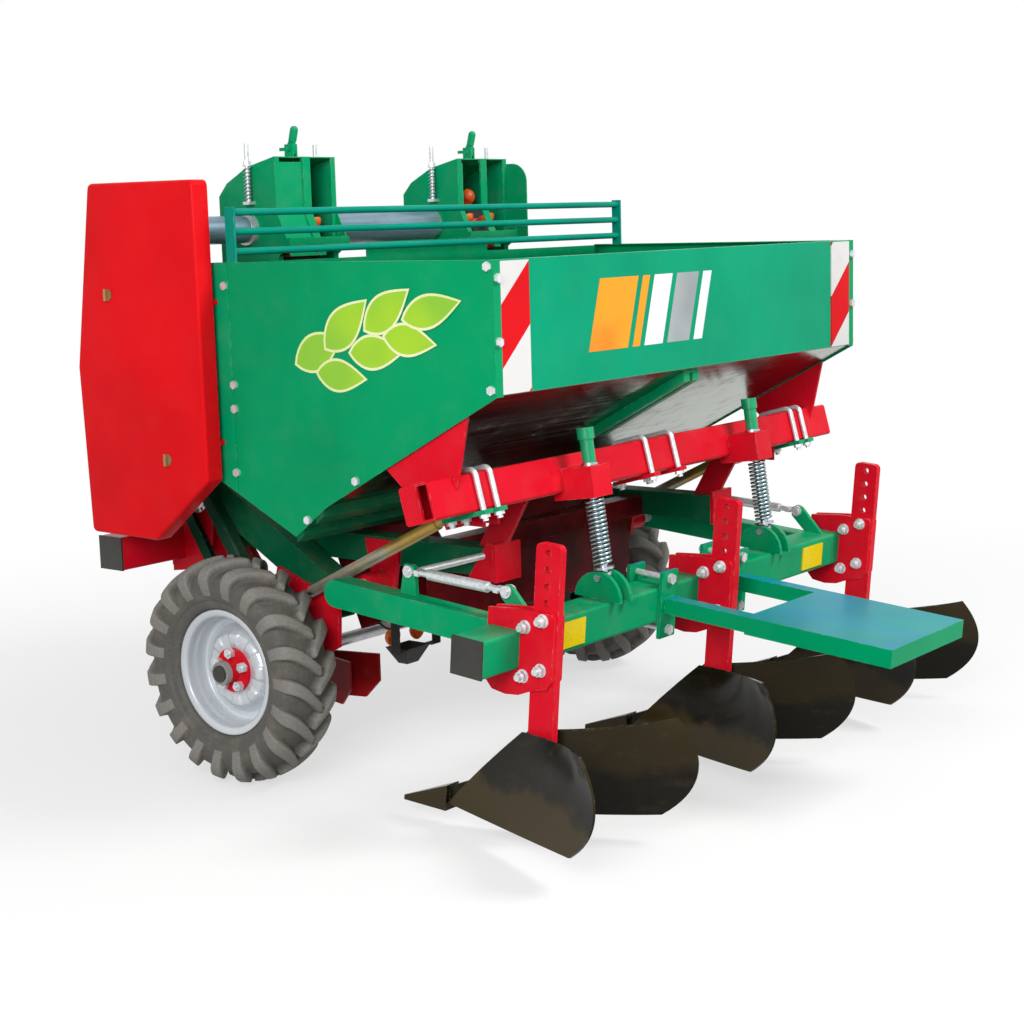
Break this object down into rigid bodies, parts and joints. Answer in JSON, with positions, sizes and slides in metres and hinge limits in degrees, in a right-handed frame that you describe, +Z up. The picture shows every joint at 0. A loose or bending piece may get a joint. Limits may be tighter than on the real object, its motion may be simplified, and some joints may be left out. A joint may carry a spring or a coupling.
{
  "type": "potato planter",
  "caption": "Tractor-mounted potato planter with a wide hopper, cup elevators driven by the land wheels, and a sprung toolbar of ridger bodies behind it",
  "frame": {"origin": "on the ground at the middle of the box seen from above", "axes": "+X is the right-hand side, +Y the way it travels, +Z up"},
  "size_m": [1.913, 2.168, 1.696],
  "materials": {
    "green_paint": "glossy",
    "red_paint": "glossy",
    "zinc": "zinc plated",
    "stainless": "bright sheet",
    "black_paint": "glossy black",
    "tyre": "matte",
    "rim_silver": "silver",
    "cap_black": "matte",
    "belt": "matte",
    "cup": "moulded",
    "board": "white with red stripes",
    "reflector": "prismatic",
    "chain": "oiled",
    "spindle": "yellow zinc",
    "shaft_blue": "blue grey",
    "dark_red": "satin"
  },
  "bodies": {
    "chassis": {"front_beam": "red_paint", "front_beam_caps": "cap_black", "hitch_mast": "red_paint", "steel_pins": "zinc", "frame_rails": "green_paint", "hopper_supports": "red_paint", "rear_beam": "red_paint", "frame_fasteners": "zinc", "frame_brackets": "red_paint", "hopper_left_side": "green_paint", "hopper_right_side": "green_paint", "hopper_rear_panel": "green_paint", "hopper_front_wall": "green_paint", "hopper_rear_floor": "stainless", "hopper_trough": "green_paint", "floor_braces": "green_paint", "striped_boards": "board", "hopper_fence": "green_paint", "left_tower": "green_paint", "right_tower": "green_paint", "seed_ducts": "red_paint", "elevator_belts": "belt", "seed_cups": "cup", "seed_boots": "belt", "shaft_bearings": "zinc", "tension_rods": "zinc", "tension_springs": "zinc", "guard_cover": "red_paint", "guard_back_plate": "red_paint", "upper_chain": "chain", "furrow_openers": "dark_red"},
    "wheel_carriage": {"wheel_arms": "green_paint", "axle_brackets": "red_paint", "arm_chain": "chain"},
    "axle": {"cross_shaft": "zinc", "tyres": "tyre", "rims": "rim_silver", "hubs": "red_paint", "wheel_nuts": "zinc"},
    "layshaft_body": {"layshaft": "zinc"},
    "top_shaft_body": {"top_shaft": "shaft_blue"},
    "lower_pulley_body": {"lower_pulleys": "zinc"},
    "spindle_body": {"depth_spindles": "spindle"},
    "ridger_frame": {"toolbar": "green_paint", "toolbar_caps": "cap_black", "ridger_arms": "green_paint", "turnbuckles": "zinc", "ridger_legs": "red_paint", "leg_clamps": "red_paint", "toolbar_bolts": "zinc", "ridger_wings": "black_paint", "ridger_points": "black_paint", "step_platform": "green_paint", "reflectors": "reflector"},
    "spring_rod_body": {"spring_rods": "zinc", "ridger_springs": "zinc"},
    "upper_latch": {"upper_guard_latch": "zinc"},
    "lower_latch": {"lower_guard_latch": "zinc"},
    "left_lever": {"left_tower_lever": "green_paint"},
    "right_lever": {"right_tower_lever": "green_paint"}
  },
  "joints": [
    {"name": "wheel_depth", "type": "hinge", "parent": "chassis", "child": "wheel_carriage", "pos_m": [0, 0.76, 0.72], "axis": [1, 0, 0], "range_deg": [-3, 3]},
    {"name": "axle_spin", "type": "hinge", "parent": "wheel_carriage", "child": "axle", "pos_m": [0, 0.485, 0.3], "axis": [-1, 0, 0], "continuous": true},
    {"name": "layshaft_spin", "type": "hinge", "parent": "chassis", "child": "layshaft_body", "pos_m": [-0.7, 0.76, 0.72], "axis": [-1, 0, 0], "continuous": true},
    {"name": "top_shaft_spin", "type": "hinge", "parent": "chassis", "child": "top_shaft_body", "pos_m": [0, 0.663, 1.425], "axis": [-1, 0, 0], "continuous": true},
    {"name": "lower_pulley_spin", "type": "hinge", "parent": "chassis", "child": "lower_pulley_body", "pos_m": [0, 0.25, 0.42], "axis": [-1, 0, 0], "continuous": true},
    {"name": "spindle_swing", "type": "hinge", "parent": "wheel_carriage", "child": "spindle_body", "pos_m": [0, 0.404, 0.463], "axis": [1, 0, 0], "range_deg": [-5, 5]},
    {"name": "ridger_lift", "type": "hinge", "parent": "chassis", "child": "ridger_frame", "pos_m": [0, 0.1797, 0.52074], "axis": [-1, 0, 0], "range_deg": [0, 2.5], "stiffness_Nm_per_rad": 27000, "springref_deg": -4.01, "deforming": ["ridger_springs"]},
    {"name": "spring_rod_swing", "type": "hinge", "parent": "ridger_frame", "child": "spring_rod_body", "pos_m": [0, -0.40871, 0.56661], "axis": [-1, 0, 0], "range_deg": [-3.5, 1]},
    {"name": "upper_latch_turn", "type": "hinge", "parent": "chassis", "child": "upper_latch", "pos_m": [-0.895, 0.767, 1.27], "axis": [1, 0, 0], "range_deg": [0, 90]},
    {"name": "lower_latch_turn", "type": "hinge", "parent": "chassis", "child": "lower_latch", "pos_m": [-0.895, 0.572, 0.856], "axis": [1, 0, 0], "range_deg": [0, 90]},
    {"name": "left_lever_swing", "type": "hinge", "parent": "chassis", "child": "left_lever", "pos_m": [-0.375, 0.606, 1.634], "axis": [1, 0, 0], "range_deg": [-10, 10]},
    {"name": "right_lever_swing", "type": "hinge", "parent": "chassis", "child": "right_lever", "pos_m": [0.375, 0.606, 1.634], "axis": [1, 0, 0], "range_deg": [-10, 10]}
  ],
  "couplings": [
    {"joint": "layshaft_spin", "follows": "axle_spin", "ratio": 1},
    {"joint": "top_shaft_spin", "follows": "axle_spin", "ratio": 1},
    {"joint": "lower_pulley_spin", "follows": "axle_spin", "ratio": 1},
    {"joint": "spindle_swing", "follows": "wheel_depth", "ratio": -1.31},
    {"joint": "spring_rod_swing", "follows": "ridger_lift", "ratio": -1.12}
  ]
}
